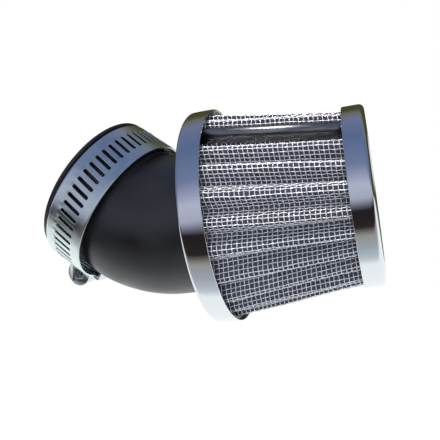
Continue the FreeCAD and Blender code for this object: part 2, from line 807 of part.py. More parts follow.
def clamp_screw():
    """Worm screw: pilot tip, thread, plain neck and slotted hexagon head."""
    half_length = size("housing_length") / 2
    root = size("worm_radius") - size("thread_height")
    wall = size("housing_wall")
    shoulder = half_length - wall - size("journal_clearance")
    tip = half_length + size("journal_proud")
    head_in = -half_length - size("head_gap")
    head_out = head_in - size("head_height")
    axis = worm_axis_radius()

    screw = rod(root, head_in, shoulder)
    screw = screw.fuse(rod(size("journal_radius"), shoulder, tip))
    screw = screw.fuse(hexagon(head_out, head_in))
    screw = screw.fuse(worm_thread())
    slot = block(
        axis - size("head_flats"), axis + size("head_flats"),
        head_out - 1, head_out + size("head_slot_depth"), size("head_slot_width") / 2)
    mark = block(
        axis - size("head_flats"), axis + size("head_flats"),
        tip - size("journal_proud") / 2, tip + 1, size("tip_slot_width") / 2)
    screw = screw.cut(slot).cut(mark)
    part = shaped("clamp_screw", screw)
    put_at_housing(part)
    return part


# ---------------------------------------------------------------------------------------------
# The whole filter
# ---------------------------------------------------------------------------------------------


def build():
    """Every piece of the filter, by node name."""
    depths = layer_depths()
    pack_depth = depths[-1][2]
    pack = pleated_layer("element_pack", 0.0, pack_depth)
    parts = {
        "rubber_neck": rubber_neck(),
        "base_ring": base_ring(),
        "base_potting": base_potting(pack),
        "end_cap": end_cap(),
        "cap_potting": cap_potting(pack),
        "seam_clip": seam_clip(),
        "clamp_strap": clamp_strap(),
        "clamp_tongue": clamp_tongue(),
        "clamp_saddle": clamp_saddle(),
        "clamp_housing": clamp_housing(),
        "clamp_screw": clamp_screw(),
    }
    for name, outer_depth, inner_depth in depths:
        parts[name] = pleated_layer(name, outer_depth, inner_depth)
    return parts


def check(parts):
    """Stop if any object failed, or any piece is empty or not a valid solid."""
    for thing in doc.Objects:
        if "Invalid" in thing.State or "Error" in thing.State:
            raise RuntimeError("failed: " + thing.Name)
    for name, part in parts.items():
        if part.Shape.isNull() or not part.Shape.isValid() or part.Shape.Volume <= 0:
            raise RuntimeError("bad shape: " + name)


def write(parts):
    """One STEP file for each piece, named by its label."""
    os.makedirs("parts", exist_ok=True)
    for name, part in parts.items():
        part.Label = name
        part.Shape.exportStep("parts/%s.step" % part.Label)
        print(name, "volume", round(part.Shape.Volume, 1), "solids", len(part.Shape.Solids))


all_parts = build()
doc.recompute()
check(all_parts)
write(all_parts)
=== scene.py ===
"""Looks of a clamp-on pod air filter: woven wire over a pleated pack, a chromed ring and cap, a rubber
elbow, and a slotted worm-drive band clamp. Lengths are in millimetres, and become metres in the meshes."""
import cmath
import math

import bmesh
import bpy
import numpy as np
from mathutils import Matrix, Vector


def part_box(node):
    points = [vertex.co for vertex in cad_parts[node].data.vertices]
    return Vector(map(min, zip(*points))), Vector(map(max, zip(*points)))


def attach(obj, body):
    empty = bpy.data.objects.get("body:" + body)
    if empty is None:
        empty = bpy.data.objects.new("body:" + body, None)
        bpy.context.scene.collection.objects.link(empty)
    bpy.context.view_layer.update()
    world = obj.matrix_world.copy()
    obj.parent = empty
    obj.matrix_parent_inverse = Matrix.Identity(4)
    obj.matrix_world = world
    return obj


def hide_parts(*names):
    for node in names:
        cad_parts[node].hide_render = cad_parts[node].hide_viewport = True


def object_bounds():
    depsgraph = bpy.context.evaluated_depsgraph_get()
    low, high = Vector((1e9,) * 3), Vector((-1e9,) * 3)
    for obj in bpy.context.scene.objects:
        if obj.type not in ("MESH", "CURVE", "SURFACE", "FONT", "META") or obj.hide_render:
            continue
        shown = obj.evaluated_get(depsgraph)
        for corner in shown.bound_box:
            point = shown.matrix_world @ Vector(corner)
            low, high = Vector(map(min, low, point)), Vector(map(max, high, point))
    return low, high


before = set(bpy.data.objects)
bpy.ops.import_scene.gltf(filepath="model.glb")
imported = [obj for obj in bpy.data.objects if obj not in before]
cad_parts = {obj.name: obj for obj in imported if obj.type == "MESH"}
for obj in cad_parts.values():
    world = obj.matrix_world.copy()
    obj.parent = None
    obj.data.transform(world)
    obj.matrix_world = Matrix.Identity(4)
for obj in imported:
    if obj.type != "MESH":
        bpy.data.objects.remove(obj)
cad_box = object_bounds()

MM = 0.001

# ---------------------------------------------------------------------------------------------
# Sizes of the object
# ---------------------------------------------------------------------------------------------

# rubber elbow
BEND = math.radians(40.0)
BORE = 21.0
SEAT = 23.6
LIP = 25.8
LIP_WIDTH = 1.4
BEND_RADIUS = 26.0
ELBOW = 23.5
ELBOW_OFFSET = 0.5
NECK_RUN = 25.6

# chromed ring and cap
SHEET = 0.6
RING_HOLE = 24.1
CAP_PANEL = 20.5
CAP_PANEL_DEPTH = 0.5

# pleated pack
PLEATS = 25
CREST_BASE = 33.2
CREST_CAP = 27.7
DEPTH_BASE = 3.8
DEPTH_CAP = 4.4
CREST_ROUND = 1.7
VALLEY_ROUND = 0.5
SEAM = math.radians(47.0)
SCREEN = 0.5
GAUZE = 0.25
WIRE = 0.28
WARPS_PER_PLEAT = 8
WEFT_PITCH = 1.42
WARP_STRAY = 0.10
WEFT_STRAY = 0.12
SEAM_SHEET = 0.4
SEAM_LEG = 2.6
SEAM_CLEARANCE = 0.05

# band clamp
BAND_WIDTH = 14.4
BAND_SHEET = 0.65
BAND_SETBACK = 2.5
DROOP = 0.5
TONGUE_IN = 25.05
STRAP_IN = 25.8
HOUSING_ANGLE = 161.0
TAIL_REACH = 45.0
STRAP_REACH = 269.0
TONGUE_REACH = 131.0
TONGUE_INSIDE = 8.0
SLOT_PITCH = 6.35
SLOT_LEAN = math.radians(8.32)
SLOT_SPAN = 7.0
SLOT_WIDTH = 1.15
SLOTS_BACK = 6
SLOTS_FORWARD = 41
BURR = 0.14


def box_mm(node):
    """Lowest and highest corner of a part of the frame."""
    low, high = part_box(node)
    return low / MM, high / MM


ring_low, ring_high = box_mm("base_ring")
cap_low, cap_high = box_mm("end_cap")
screen_low, screen_high = box_mm("outer_screen")
AXIS_Z = (ring_low.z + ring_high.z) / 2
RING_BACK, RING_FRONT = ring_low.x, ring_high.x
RING_RADIUS = (ring_high.z - ring_low.z) / 2
CAP_RIM, CAP_FACE = cap_low.x, cap_high.x
CAP_RADIUS = (cap_high.z - cap_low.z) / 2
PACK_START, PACK_END = screen_low.x, screen_high.x

MOUTH_WAY = Vector((-math.cos(BEND), 0, math.sin(BEND)))
NECK_TOP = Vector((math.sin(BEND), 0, math.cos(BEND)))
FAR_SIDE = Vector((0, 1, 0))
CLAMP_CENTRE = -(BAND_SETBACK + BAND_WIDTH / 2) * MOUTH_WAY - DROOP * NECK_TOP


# ---------------------------------------------------------------------------------------------
# Making pieces
# ---------------------------------------------------------------------------------------------


def link(name, mesh):
    """An object in the scene for a mesh."""
    thing = bpy.data.objects.new(name, mesh)
    bpy.context.scene.collection.objects.link(thing)
    return thing


def mesh_from(name, points, faces):
    """A smooth-shaded mesh from points in millimetres."""
    mesh = bpy.data.meshes.new(name)
    mesh.from_pydata((np.asarray(points, float) * MM).tolist(), [], [tuple(face) for face in faces])
    mesh.update()
    mesh.shade_smooth()
    return mesh


def fit(thing, body, slot, finish, *nodes):
    """Set a piece on its body, in place of frame parts, with its finish. Its slot is not used."""
    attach(thing, body)
    if nodes:
        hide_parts(*nodes)
    dress(thing, finish)


def dress(thing, finish):
    """Give a piece or a frame part one material."""
    thing.data.materials.clear()
    thing.data.materials.append(finish)


def settle(thing, sharp):
    """Apply a piece's modifiers, then keep only edges sharper than an angle hard."""
    graph = bpy.context.evaluated_depsgraph_get()
    done = bpy.data.meshes.new_from_object(thing.evaluated_get(graph))
    thing.modifiers.clear()
    thing.data = done
    done.name = thing.name
    done.shade_smooth()
    done.set_sharp_from_angle(angle=math.radians(sharp))


def round_edges(thing, width):
    """Round a piece's hard edges over a width in millimetres, and shade its flats flat."""
    edge = thing.modifiers.new("rounded_edges", "BEVEL")
    edge.width = width * MM
    edge.segments = 2
    edge.limit_method = "ANGLE"
    edge.angle_limit = math.radians(45)
    edge.harden_normals = False
    weigh = thing.modifiers.new("flat_shading", "WEIGHTED_NORMAL")
    weigh.weight = 60
    weigh.keep_sharp = True


def merge_near(mesh, distance):
    """Make one point of those that lie within a distance in millimetres."""
    work = bmesh.new()
    work.from_mesh(mesh)
    bmesh.ops.remove_doubles(work, verts=work.verts, dist=distance * MM)
    work.to_mesh(mesh)
    work.free()


def ring_faces(rows, count, closed):
    """Quads between rows of points, each row a loop of count points."""
    faces = []
    for row in range(rows if closed else rows - 1):
        here = row * count
        there = ((row + 1) % rows) * count
        for step in range(count):
            after = (step + 1) % count
            faces.append((here + step, there + step, there + after, here + after))
    return faces


def lathe(outline, segments):
    """A closed outline of (x, radius) points turned about the canister's axis."""
    outline = np.asarray(outline, float)
    turn = np.linspace(0, 2 * math.pi, segments, endpoint=False)[:, None]
    x = np.repeat(outline[None, :, 0], segments, 0)
    y = -outline[None, :, 1] * np.sin(turn)
    z = outline[None, :, 1] * np.cos(turn) + AXIS_Z
    points = np.stack([x, y, z], -1).reshape(-1, 3)
    return points, ring_faces(segments, len(outline), True)


def rounded(corners, steps=6):
    """An outline through (x, radius, rounding) corners, with each rounding an arc."""
    outline = []
    count = len(corners)
    for index, (x, r, rounding) in enumerate(corners):
        here = complex(x, r)
        if rounding == 0:
            outline.append((x, r))
            continue
        before = complex(*corners[index - 1][:2])
        after = complex(*corners[(index + 1) % count][:2])
        to_before = (before - here) / abs(before - here)
        to_after = (after - here) / abs(after - here)
        half = abs(cmath.phase(to_after / to_before)) / 2
        middle = (to_before + to_after) / abs(to_before + to_after)
        centre = here + middle * (rounding / math.sin(half))
        start = here + to_before * (rounding / math.tan(half)) - centre
        swing = cmath.phase((here + to_after * (rounding / math.tan(half)) - centre) / start)
        for step in range(steps + 1):
            spot = centre + start * cmath.exp(1j * swing * step / steps)
            outline.append((spot.real, spot.imag))
    return outline


# ---------------------------------------------------------------------------------------------
# Pleated pack: the cloth's surface, its wires and its gauze
# ---------------------------------------------------------------------------------------------


def along_pack(x, at_base, at_cap):
    """A size that changes evenly from the base ring's rim to the end cap's rim."""
    return at_base + (at_cap - at_base) * (x - RING_FRONT) / (CAP_RIM - RING_FRONT)


def half_pleat(x, depth_in, samples=24):
    """Half a pleat at x, from crest to valley, at a depth under the outside of the cloth.
    Points and outward directions are complex numbers, with the crest on the real axis."""
    half_pitch = math.pi / PLEATS
    top = along_pack(x, CREST_BASE, CREST_CAP)
    depth = along_pack(x, DEPTH_BASE, DEPTH_CAP)
    crest_centre = complex(top - CREST_ROUND, 0)
    valley_centre = (top - depth + VALLEY_ROUND) * cmath.exp(1j * half_pitch)
    between = valley_centre - crest_centre
    lean = math.asin((CREST_ROUND + VALLEY_ROUND) / abs(between))
    flank_angle = cmath.phase(between * complex(math.sin(lean), -math.cos(lean)))
    over = np.exp(1j * np.linspace(0, flank_angle, samples))
    under = np.exp(1j * np.linspace(flank_angle, half_pitch, samples))
    crest = crest_centre + (CREST_ROUND - depth_in) * over
    valley = valley_centre - (VALLEY_ROUND + depth_in) * under
    return np.concatenate([crest, valley]), np.concatenate([over, under])


def unevenness(turns, x):
    """How far the hand-set pleats are off their even places: an angle round the pack, and a
    distance in. The seam's own pleat is where it should be."""
    places = 2 * math.pi * turns / PLEATS
    from_seam = (turns + PLEATS / 2) % PLEATS - PLEATS / 2
    loose = 1 - np.exp(-(from_seam / 0.8) ** 2)
    at_base = -3.2 * np.sin(2 * places) + 0.6 * np.sin(9 * places)
    at_cap = 2.2 * np.sin(2 * places) + 0.7 * np.sin(7 * places)
    sink = 0.18 * (1 - np.cos(11 * places + x / 9)) * loose
    return np.radians(along_pack(x, at_base, at_cap)) * loose, sink


def on_pleats(x, depth_in, turns):
    """Points of the cloth and their outward directions at x, at places counted in pleats from
    the seam and spread evenly along the cloth."""
    half, facing = half_pleat(x, depth_in)
    pitch_turn = cmath.exp(2j * math.pi / PLEATS)
    path = np.concatenate([half, np.conj(half[::-1][1:]) * pitch_turn])
    facing = np.concatenate([facing, np.conj(facing[::-1][1:]) * pitch_turn])
    length = np.concatenate([[0], np.cumsum(np.abs(np.diff(path)))])
    share = np.mod(turns, 1.0) * length[-1]
    spot = np.interp(share, length, path.real) + 1j * np.interp(share, length, path.imag)
    out = np.interp(share, length, facing.real) + 1j * np.interp(share, length, facing.imag)
    shift, sink = unevenness(turns, x)
    spot = spot * (1 - sink / np.abs(spot))
    swing = np.exp(1j * (SEAM + np.floor(turns) * 2 * math.pi / PLEATS + shift))
    spot, out = spot * swing, out / np.abs(out) * swing
    place = np.stack([np.full(len(spot), x), -spot.imag, spot.real + AXIS_Z], -1)
    normal = np.stack([np.zeros(len(out)), -out.imag, out.real], -1)
    return place, normal


def tubes(centres, normals, radius, sides, closed):
    """Round wires along rows of points, with the cloth's outward directions to frame them."""
    wires, count, _ = centres.shape
    ahead = np.roll(centres, -1, 1) - np.roll(centres, 1, 1)
    if not closed:
        ahead[:, 0] = centres[:, 1] - centres[:, 0]
        ahead[:, -1] = centres[:, -1] - centres[:, -2]
    ahead /= np.linalg.norm(ahead, axis=2, keepdims=True)
    side = np.cross(ahead, normals)
    side /= np.linalg.norm(side, axis=2, keepdims=True)
    rise = np.cross(side, ahead)
    angles = 2 * math.pi * np.arange(sides) / sides
    points = np.stack(
        [centres + radius * (math.cos(a) * rise + math.sin(a) * side) for a in angles], 2)
    wire = np.arange(wires)[:, None, None] * count * sides
    row = np.arange(count if closed else count - 1)[None, :, None]
    step = np.arange(sides)[None, None, :]
    here = wire + row * sides
    there = wire + ((row + 1) % count) * sides
    after = (step + 1) % sides
    quads = np.stack([here + step, there + step, there + after, here + after], -1)
    faces = quads.reshape(-1, 4).tolist()
    if not closed:
        for first in range(0, wires * count * sides, count * sides):
            last = first + (count - 1) * sides
            faces.append([first + step for step in range(sides)])
            faces.append([last + step for step in reversed(range(sides))])
    return points.reshape(-1, 3), faces


def slow_waves(places, seed):
    """Repeatable unevenness between -1 and 1 along a row of places, over tens of millimetres."""
    phases = np.random.default_rng(seed).uniform(0, 2 * math.pi, 3)
    waves = [np.sin(places / length + phase) for length, phase in zip((5.1, 3.3, 2.2), phases)]
    return sum(waves) / 3


def warp_wires(name, depth_in, sides):
    """Wires from ring to cap, each over and under the wires that go round."""
    wires = np.arange(PLEATS * WARPS_PER_PLEAT)
    stations = np.arange(PACK_START, PACK_END, WEFT_PITCH / 2)
    centres, normals = [], []
    for row, x in enumerate(stations):
        drift = WARP_STRAY * slow_waves(x + 7.0 * wires, 3)
        place, normal = on_pleats(x, depth_in, (wires + 0.5 + drift) / WARPS_PER_PLEAT)
        crimp = WIRE / 2 * math.cos(math.pi * row / 2) * np.where(wires % 2 == 0, 1, -1)
        centres.append(place + normal * crimp[:, None])
        normals.append(normal)
    points, faces = tubes(np.stack(centres, 1), np.stack(normals, 1), WIRE / 2, sides, False)
    return link(name, mesh_from(name, points, faces))


def weft_wires(name, depth_in, sides):
    """Wires round the pack, following every pleat."""
    steps = np.arange(PLEATS * WARPS_PER_PLEAT * 2)
    turns = (steps / 2 + 0.5) / WARPS_PER_PLEAT
    centres, normals = [], []
    for wire, x in enumerate(np.arange(PACK_START, PACK_END, WEFT_PITCH)):
        place, normal = on_pleats(x, depth_in, turns)
        crimp = WIRE / 2 * np.cos(math.pi * steps / 2) * (-1 if wire % 2 == 0 else 1)
        place = place + normal * crimp[:, None]
        place[:, 0] += WEFT_STRAY * slow_waves(steps * 0.7 + 5.0 * wire, 11)
        centres.append(place)
        normals.append(normal)
    points, faces = tubes(np.stack(centres), np.stack(normals), WIRE / 2, sides, True)
    return link(name, mesh_from(name, points, faces))


def gauze_ply(name, depth_in):
    """One ply of gauze: a closed pleated sheet under the wire cloth."""
    stations = np.linspace(PACK_START, PACK_END, 25)
    turns = np.arange(PLEATS * 20) / 20
    outside = [on_pleats(x, depth_in, turns)[0] for x in stations]
    inside = [on_pleats(x, depth_in + GAUZE, turns)[0] for x in stations[::-1]]
    rows = outside + inside
    faces = ring_faces(len(rows), len(turns), True)
    return link(name, mesh_from(name, np.concatenate(rows), faces))


def seam_strip():
    """Folded strip over the seam's pleat: a rounded channel from ring to cap."""
    start, end = box_mm("seam_clip")[0].x, box_mm("seam_clip")[1].x
    samples = 24
    soft_end = 0.12
    rows = []
    for x in (start, start + soft_end, end - soft_end, end):
        pinch = 0.1 if x in (start, end) else 0.0
        section = []
        for depth_in in (-SEAM_CLEARANCE - SEAM_SHEET + pinch, -SEAM_CLEARANCE):
            half, _ = half_pleat(x, depth_in, samples)
            arc = half[:samples:3]
            bend_end = half[samples - 1]
            flank = half[samples] - bend_end
            foot = bend_end + flank / abs(flank) * SEAM_LEG
            side = np.concatenate([arc, [bend_end, foot]])
            section.append(np.concatenate([np.conj(side[:0:-1]), side]))
        loop = np.concatenate([section[0], section[1][::-1]]) * cmath.exp(1j * SEAM)
        rows.append(np.stack([np.full(len(loop), x), -loop.imag, loop.real + AXIS_Z], -1))
    count = len(rows[0])
    faces = ring_faces(len(rows), count, False)
    for row in (0, len(rows) - 1):
        for step in range(count // 2 - 1):
            first = row * count + step
            last = row * count + count - 1 - step
            quad = (first, first + 1, last - 1, last)
            faces.append(quad if row == 0 else quad[::-1])
    return link("seam_strip", mesh_from("seam_strip", np.concatenate(rows), faces))


# ---------------------------------------------------------------------------------------------
# Chromed ring and cap
# ---------------------------------------------------------------------------------------------


def ring_plate():
    """Deep-drawn cup: pressed back corner, faintly bellied skirt and a smoothed rim."""
    outer, inner = RING_RADIUS, RING_RADIUS - SHEET
    outline = rounded([
        (RING_BACK, RING_HOLE, 0.15),
        (RING_BACK, outer - 0.05, 1.35),
        ((RING_BACK + RING_FRONT) / 2, outer, 0),
        (RING_FRONT, outer - 0.05, 0.25),
        (RING_FRONT, inner - 0.05, 0.2),
        (RING_BACK + SHEET, inner - 0.05, 0.9),
        (RING_BACK + SHEET, RING_HOLE, 0.15),
    ])
    return link("ring_plate", mesh_from("ring_plate", *lathe(outline, 360)))


def cap_plate():
    """Deep-drawn cap: skirt, pressed corner, flat rim and a slightly sunk centre panel."""
    outer, inner = CAP_RADIUS, CAP_RADIUS - SHEET
    sunk = CAP_FACE - CAP_PANEL_DEPTH
    outline = rounded([
        (CAP_RIM, inner, 0.2),
        (CAP_RIM, outer - 0.02, 0.25),
        ((CAP_RIM + CAP_FACE) / 2, outer, 0),
        (CAP_FACE, outer - 0.05, 1.6),
        (CAP_FACE, CAP_PANEL + 0.4, 0.35),
        (sunk, CAP_PANEL - 0.6, 0.35),
        (sunk, 0.0, 0),
        (sunk - SHEET, 0.0, 0),
        (sunk - SHEET, CAP_PANEL, 0.2),
        (CAP_FACE - SHEET, CAP_PANEL + 1.0, 0.2),
        (CAP_FACE - SHEET, inner, 0.9),
    ])
    thing = link("cap_plate", mesh_from("cap_plate", *lathe(outline, 360)))
    merge_near(thing.data, 0.002)
    return thing


# ---------------------------------------------------------------------------------------------
# Rubber elbow
# ---------------------------------------------------------------------------------------------


def elbow_place(distance):
    """Centre of the bore and the upward direction across it, at a distance from the mouth."""
    reach = BEND_RADIUS * math.tan(BEND / 2)
    straight = NECK_RUN - reach
    if distance <= straight:
        return -distance * MOUTH_WAY, NECK_TOP
    corner = -NECK_RUN * MOUTH_WAY
    centre = Vector((corner.x + reach, 0, corner.z + BEND_RADIUS))
    angle = BEND - min((distance - straight) / BEND_RADIUS, BEND)
    up = Vector((math.sin(angle), 0, math.cos(angle)))
    beyond = max(0.0, distance - straight - BEND_RADIUS * BEND)
    return centre - BEND_RADIUS * up + Vector((beyond, 0, 0)), up


def elbow_outside():
    """(distance from the mouth, radius, shift off the bore) down the outside of the elbow."""
    reach = BEND_RADIUS * math.tan(BEND / 2)
    seat_end = NECK_RUN - reach
    total = seat_end + BEND_RADIUS * BEND + RING_BACK + SHEET - NECK_RUN * math.cos(BEND) - reach
    rows = []
    for step in range(7):
        angle = math.pi / 2 * step / 6
        rows.append((0.5 * (1 - math.cos(angle)), LIP - 1.0 + math.sin(angle), 0.0))
    rows += [(LIP_WIDTH - 0.3, LIP, 0.0), (LIP_WIDTH, LIP - 0.3, 0.0)]
    rows += [(LIP_WIDTH + 0.15, SEAT + 0.7, 0.0), (LIP_WIDTH + 0.5, SEAT + 0.15, 0.0)]
    rows += [(LIP_WIDTH + 1.1, SEAT, 0.0), (seat_end, SEAT, 0.0)]
    for distance in np.linspace(seat_end + 0.5, total, 48):
        settle_in = min(1.0, (distance - seat_end) / 4.0)
        rows.append((float(distance), SEAT + (ELBOW - SEAT) * settle_in, ELBOW_OFFSET * settle_in))
    return rows, total


def rubber_elbow():
    """Moulded tube with a lip, a clamp seat, a parting line and a thicker wall outside the bend."""
    turn = np.linspace(0, 2 * math.pi, 192, endpoint=False)
    line_width, line_height = 0.45, 0.12
    parting_line = np.exp(-(np.sin(turn) * SEAT / line_width) ** 2)
    outside, total = elbow_outside()
    rows = []

    def add_row(distance, radius, shift, ridge):
        centre, up = elbow_place(distance)
        reach = radius + ridge * parting_line
        rows.append(
            np.asarray(centre - up * shift)
            + np.outer(np.sin(turn) * reach, FAR_SIDE) + np.outer(np.cos(turn) * reach, up))

    for distance, radius, shift in outside:
        add_row(distance, radius, shift, line_height if distance > LIP_WIDTH + 1 else 0.0)
    for distance in np.linspace(total, 0.5, 40):
        add_row(float(distance), BORE, 0.0, 0.0)
    add_row(0.0, BORE + 0.5, 0.0, 0.0)
    faces = ring_faces(len(rows), len(turn), True)
    return link("rubber_elbow", mesh_from("rubber_elbow", np.concatenate(rows), faces))


# ---------------------------------------------------------------------------------------------
# Band clamp
# ---------------------------------------------------------------------------------------------


class BandPattern:
    """The flat pattern of a band, in millimetres: along it and across it, with shared corners."""

    def __init__(self):
        self.points = []
        self.faces = []
        self.known = {}

    def at(self, along, across, lift=0.0):
        key = (round(along, 4), round(across, 4))
        if key not in self.known:
            self.known[key] = len(self.points)
            self.points.append((along, across, lift))
        return self.known[key]

    def patch(self, columns, rows):
        """Plain band over a grid of places along and across."""
        for left, right in zip(columns, columns[1:]):
            for low, high in zip(rows, rows[1:]):
                self.faces.append([self.at(left, low), self.at(right, low),
                                   self.at(right, high), self.at(left, high)])

    def rings(self, loops):
        """Faces between loops of points that go round a hole."""
        for inner, outer in zip(loops, loops[1:]):
            for step in range(len(inner)):
                after = (step + 1) % len(inner)
                self.faces.append([inner[step], inner[after], outer[after], outer[step]])


ACROSS = 6
DOWN = 4
SLOT_FIELD = 4.6
BAND_ROWS_OUT = (SLOT_FIELD, BAND_WIDTH / 2 - 0.6, BAND_WIDTH / 2)


def slot_cell(pattern, middle, pitch):
    """One worm slot with the band round it. Its mouth-side end has a small raised burr."""
    half = SLOT_WIDTH / 2
    reach = SLOT_SPAN / 2 - half
    lean = cmath.exp(-1j * SLOT_LEAN)
    border, outline = [], []
    for sign in (1, -1):
        for step in range(ACROSS + 1):
            share = step / ACROSS
            border.append(sign * complex(-pitch / 2 + pitch * share, SLOT_FIELD))
            outline.append(sign * (1j * reach + half * cmath.exp(1j * math.pi * (1 - share))))
        for step in range(1, DOWN):
            share = 1 - 2 * step / DOWN
            border.append(sign * complex(pitch / 2, SLOT_FIELD * share))
            outline.append(sign * complex(half, reach * share))
    hole = [spot * lean for spot in outline]
    lip = [spot + 0.2 * step_out(outline, index) * lean
           for index, spot in enumerate(hole)]
    top = [BURR if spot.imag > reach + 0.1 else 0.0 for spot in outline]
    loops = [
        [pattern.at(middle + s.real, s.imag, high) for s, high in zip(hole, top)],
        [pattern.at(middle + s.real, s.imag, high * 0.7) for s, high in zip(lip, top)],
        [pattern.at(middle + s.real, s.imag) for s in border],
    ]
    pattern.rings(loops)


def step_out(outline, index):
    """Unit direction away from a slot's middle line at one point of its outline."""
    half = SLOT_WIDTH / 2
    reach = SLOT_SPAN / 2 - half
    spot = outline[index]
    nearest = complex(0, max(-reach, min(reach, spot.imag)))
    return (spot - nearest) / abs(spot - nearest)


def band_pattern(mid_radius, start, end, slotted):
    """Pattern of a band between two angles in degrees, with or without worm slots."""
    pattern = BandPattern()
    degree = math.pi / 180 * mid_radius
    rows_in = [SLOT_FIELD * (2 * step / DOWN - 1) for step in range(DOWN + 1)]
    rows = [-row for row in reversed(BAND_ROWS_OUT)] + rows_in[1:-1] + list(BAND_ROWS_OUT)
    pitch = SLOT_PITCH * degree
    if not slotted:
        pattern.patch(np.linspace(start * degree, end * degree, 73).tolist(), rows)
        return pattern
    first = (HOUSING_ANGLE - SLOTS_BACK * SLOT_PITCH) * degree
    last = first + (SLOTS_BACK + SLOTS_FORWARD) * pitch
    for number in range(SLOTS_BACK + SLOTS_FORWARD + 1):
        middle = first + number * pitch
        slot_cell(pattern, middle, pitch)
        columns = [middle - pitch / 2 + pitch * step / ACROSS for step in range(ACROSS + 1)]
        pattern.patch(columns, BAND_ROWS_OUT)
        pattern.patch(columns, [-row for row in reversed(BAND_ROWS_OUT)])
    for left, right in ((start * degree, first - pitch / 2), (last + pitch / 2, end * degree)):
        steps = max(2, round((right - left) / 1.2))
        pattern.patch(np.linspace(left, right, steps + 1).tolist(), rows)
    return pattern


def band(name, inside, start, end, slotted):
    """A strip of steel rolled round the neck, with soft edges."""
    mid_radius = inside + BAND_SHEET / 2
    pattern = band_pattern(mid_radius, start, end, slotted)
    along, across, lift = np.asarray(pattern.points).T
    angle = along / mid_radius
    radius = mid_radius + lift
    rolled = (np.asarray(CLAMP_CENTRE) + np.outer(radius * np.cos(angle), NECK_TOP)
              + np.outer(radius * np.sin(angle), FAR_SIDE) + np.outer(across, MOUTH_WAY))
    thing = link(name, mesh_from(name, rolled, pattern.faces))
    solid = thing.modifiers.new("sheet", "SOLIDIFY")
    solid.thickness = BAND_SHEET * MM
    solid.offset = 0
    round_edges(thing, 0.12)
    settle(thing, 60)
    return thing


def softened(name, node, width):
    """A copy of a frame part with its pressed edges rounded."""
    thing = link(name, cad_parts[node].data.copy())
    merge_near(thing.data, 0.004)
    work = bmesh.new()
    work.from_mesh(thing.data)
    bmesh.ops.dissolve_limit(
        work, angle_limit=math.radians(1.0), verts=work.verts, edges=work.edges)
    work.to_mesh(thing.data)
    work.free()
    round_edges(thing, width)
    settle(thing, 60)
    return thing


# ---------------------------------------------------------------------------------------------
# Materials
# ---------------------------------------------------------------------------------------------

NOISE = "ShaderNodeTexNoise"
RANGE = "ShaderNodeMapRange"
MIX = "ShaderNodeMix"
BUMP = "ShaderNodeBump"
MATHS = "ShaderNodeMath"
COLOUR_MIX = {"data_type": "RGBA"}
EVEN = {"From Min": 0.3, "From Max": 0.7}


def colour(code):
    """An sRGB hex colour as linear red, green, blue and alpha."""
    shares = [int(code[start:start + 2], 16) / 255 for start in (1, 3, 5)]
    linear = [s / 12.92 if s <= 0.04045 else ((s + 0.055) / 1.055) ** 2.4 for s in shares]
    return (*linear, 1.0)


def per_mm(size):
    """Texture scale for features of a size in millimetres."""
    return 1 / (size * MM)


def add(tree, kind, settings=None, inputs=None):
    """One node with its settings, and its inputs as values or as nodes and outputs to link."""
    made = tree.nodes.new(kind)
    for name, value in (settings or {}).items():
        setattr(made, name, value)
    for name, value in (inputs or {}).items():
        if isinstance(name, int):
            socket = made.inputs[name]
        else:
            socket = next(s for s in made.inputs if s.enabled and s.name == name)
        if isinstance(value, bpy.types.Node):
            value = next(s for s in value.outputs if s.enabled)
        if isinstance(value, bpy.types.NodeSocket):
            tree.links.new(value, socket)
        else:
            socket.default_value = value
    return made


def material(recipe):
    """A material named for its recipe, which gives the surface its inputs."""
    made = bpy.data.materials.new(recipe.__name__)
    made.use_nodes = True
    tree = made.node_tree
    tree.nodes.clear()
    place = add(tree, "ShaderNodeTexCoord").outputs["Object"]
    surface = add(tree, "ShaderNodeBsdfPrincipled", None, recipe(tree, place))
    add(tree, "ShaderNodeOutputMaterial", None, {"Surface": surface})
    return made


def moulded_rubber(tree, place):
    """Moulded black rubber: a satin skin with fine grain, a faint bloom and a few dust specks."""
    bloom = add(tree, NOISE, None, {"Vector": place, "Scale": per_mm(9.0), "Detail": 4.0})
    grain = add(tree, NOISE, None, {"Vector": place, "Scale": per_mm(0.25), "Detail": 2.0})
    cells = add(tree, "ShaderNodeTexVoronoi", None, {"Vector": place, "Scale": per_mm(5.0)})
    speck = add(tree, RANGE, None, {
        "Value": cells.outputs["Distance"], "From Min": 0.025, "From Max": 0.045,
        "To Min": 1.0, "To Max": 0.0})
    chosen = add(tree, MATHS, {"operation": "GREATER_THAN"}, {0: cells.outputs["Color"], 1: 0.72})
    dust = add(tree, MATHS, {"operation": "MULTIPLY"}, {0: speck, 1: chosen})
    cloud = add(tree, RANGE, None, {"Value": bloom, **EVEN})
    skin = add(tree, MIX, COLOUR_MIX, {
        "Factor": cloud, "A": colour("#0e0e11"), "B": colour("#151517")})
    return {
        "Base Color": add(tree, MIX, COLOUR_MIX, {
            "Factor": dust, "A": skin, "B": colour("#8f9496")}),
        "Roughness": add(tree, RANGE, None, {
            "Value": bloom, **EVEN, "To Min": 0.32, "To Max": 0.44}),
        "Normal": add(tree, BUMP, None, {
            "Height": grain, "Distance": 0.02 * MM, "Strength": 0.5}),
        "IOR": 1.56,
    }


def chrome_plate(tree, place):
    """Bright chrome on deep-drawn steel: a mirror with faint drawing waves and a few smears."""
    smear = add(tree, NOISE, None, {"Vector": place, "Scale": per_mm(14.0), "Detail": 5.0})
    waves = add(tree, NOISE, None, {"Vector": place, "Scale": per_mm(7.0), "Detail": 1.0})
    return {
        "Base Color": colour("#dcdde0"),
        "Metallic": 1.0,
        "Roughness": add(tree, RANGE, None, {
            "Value": smear, **EVEN, "To Min": 0.035, "To Max": 0.10}),
        "Normal": add(tree, BUMP, None, {
            "Height": waves, "Distance": 0.035 * MM, "Strength": 0.5}),
    }


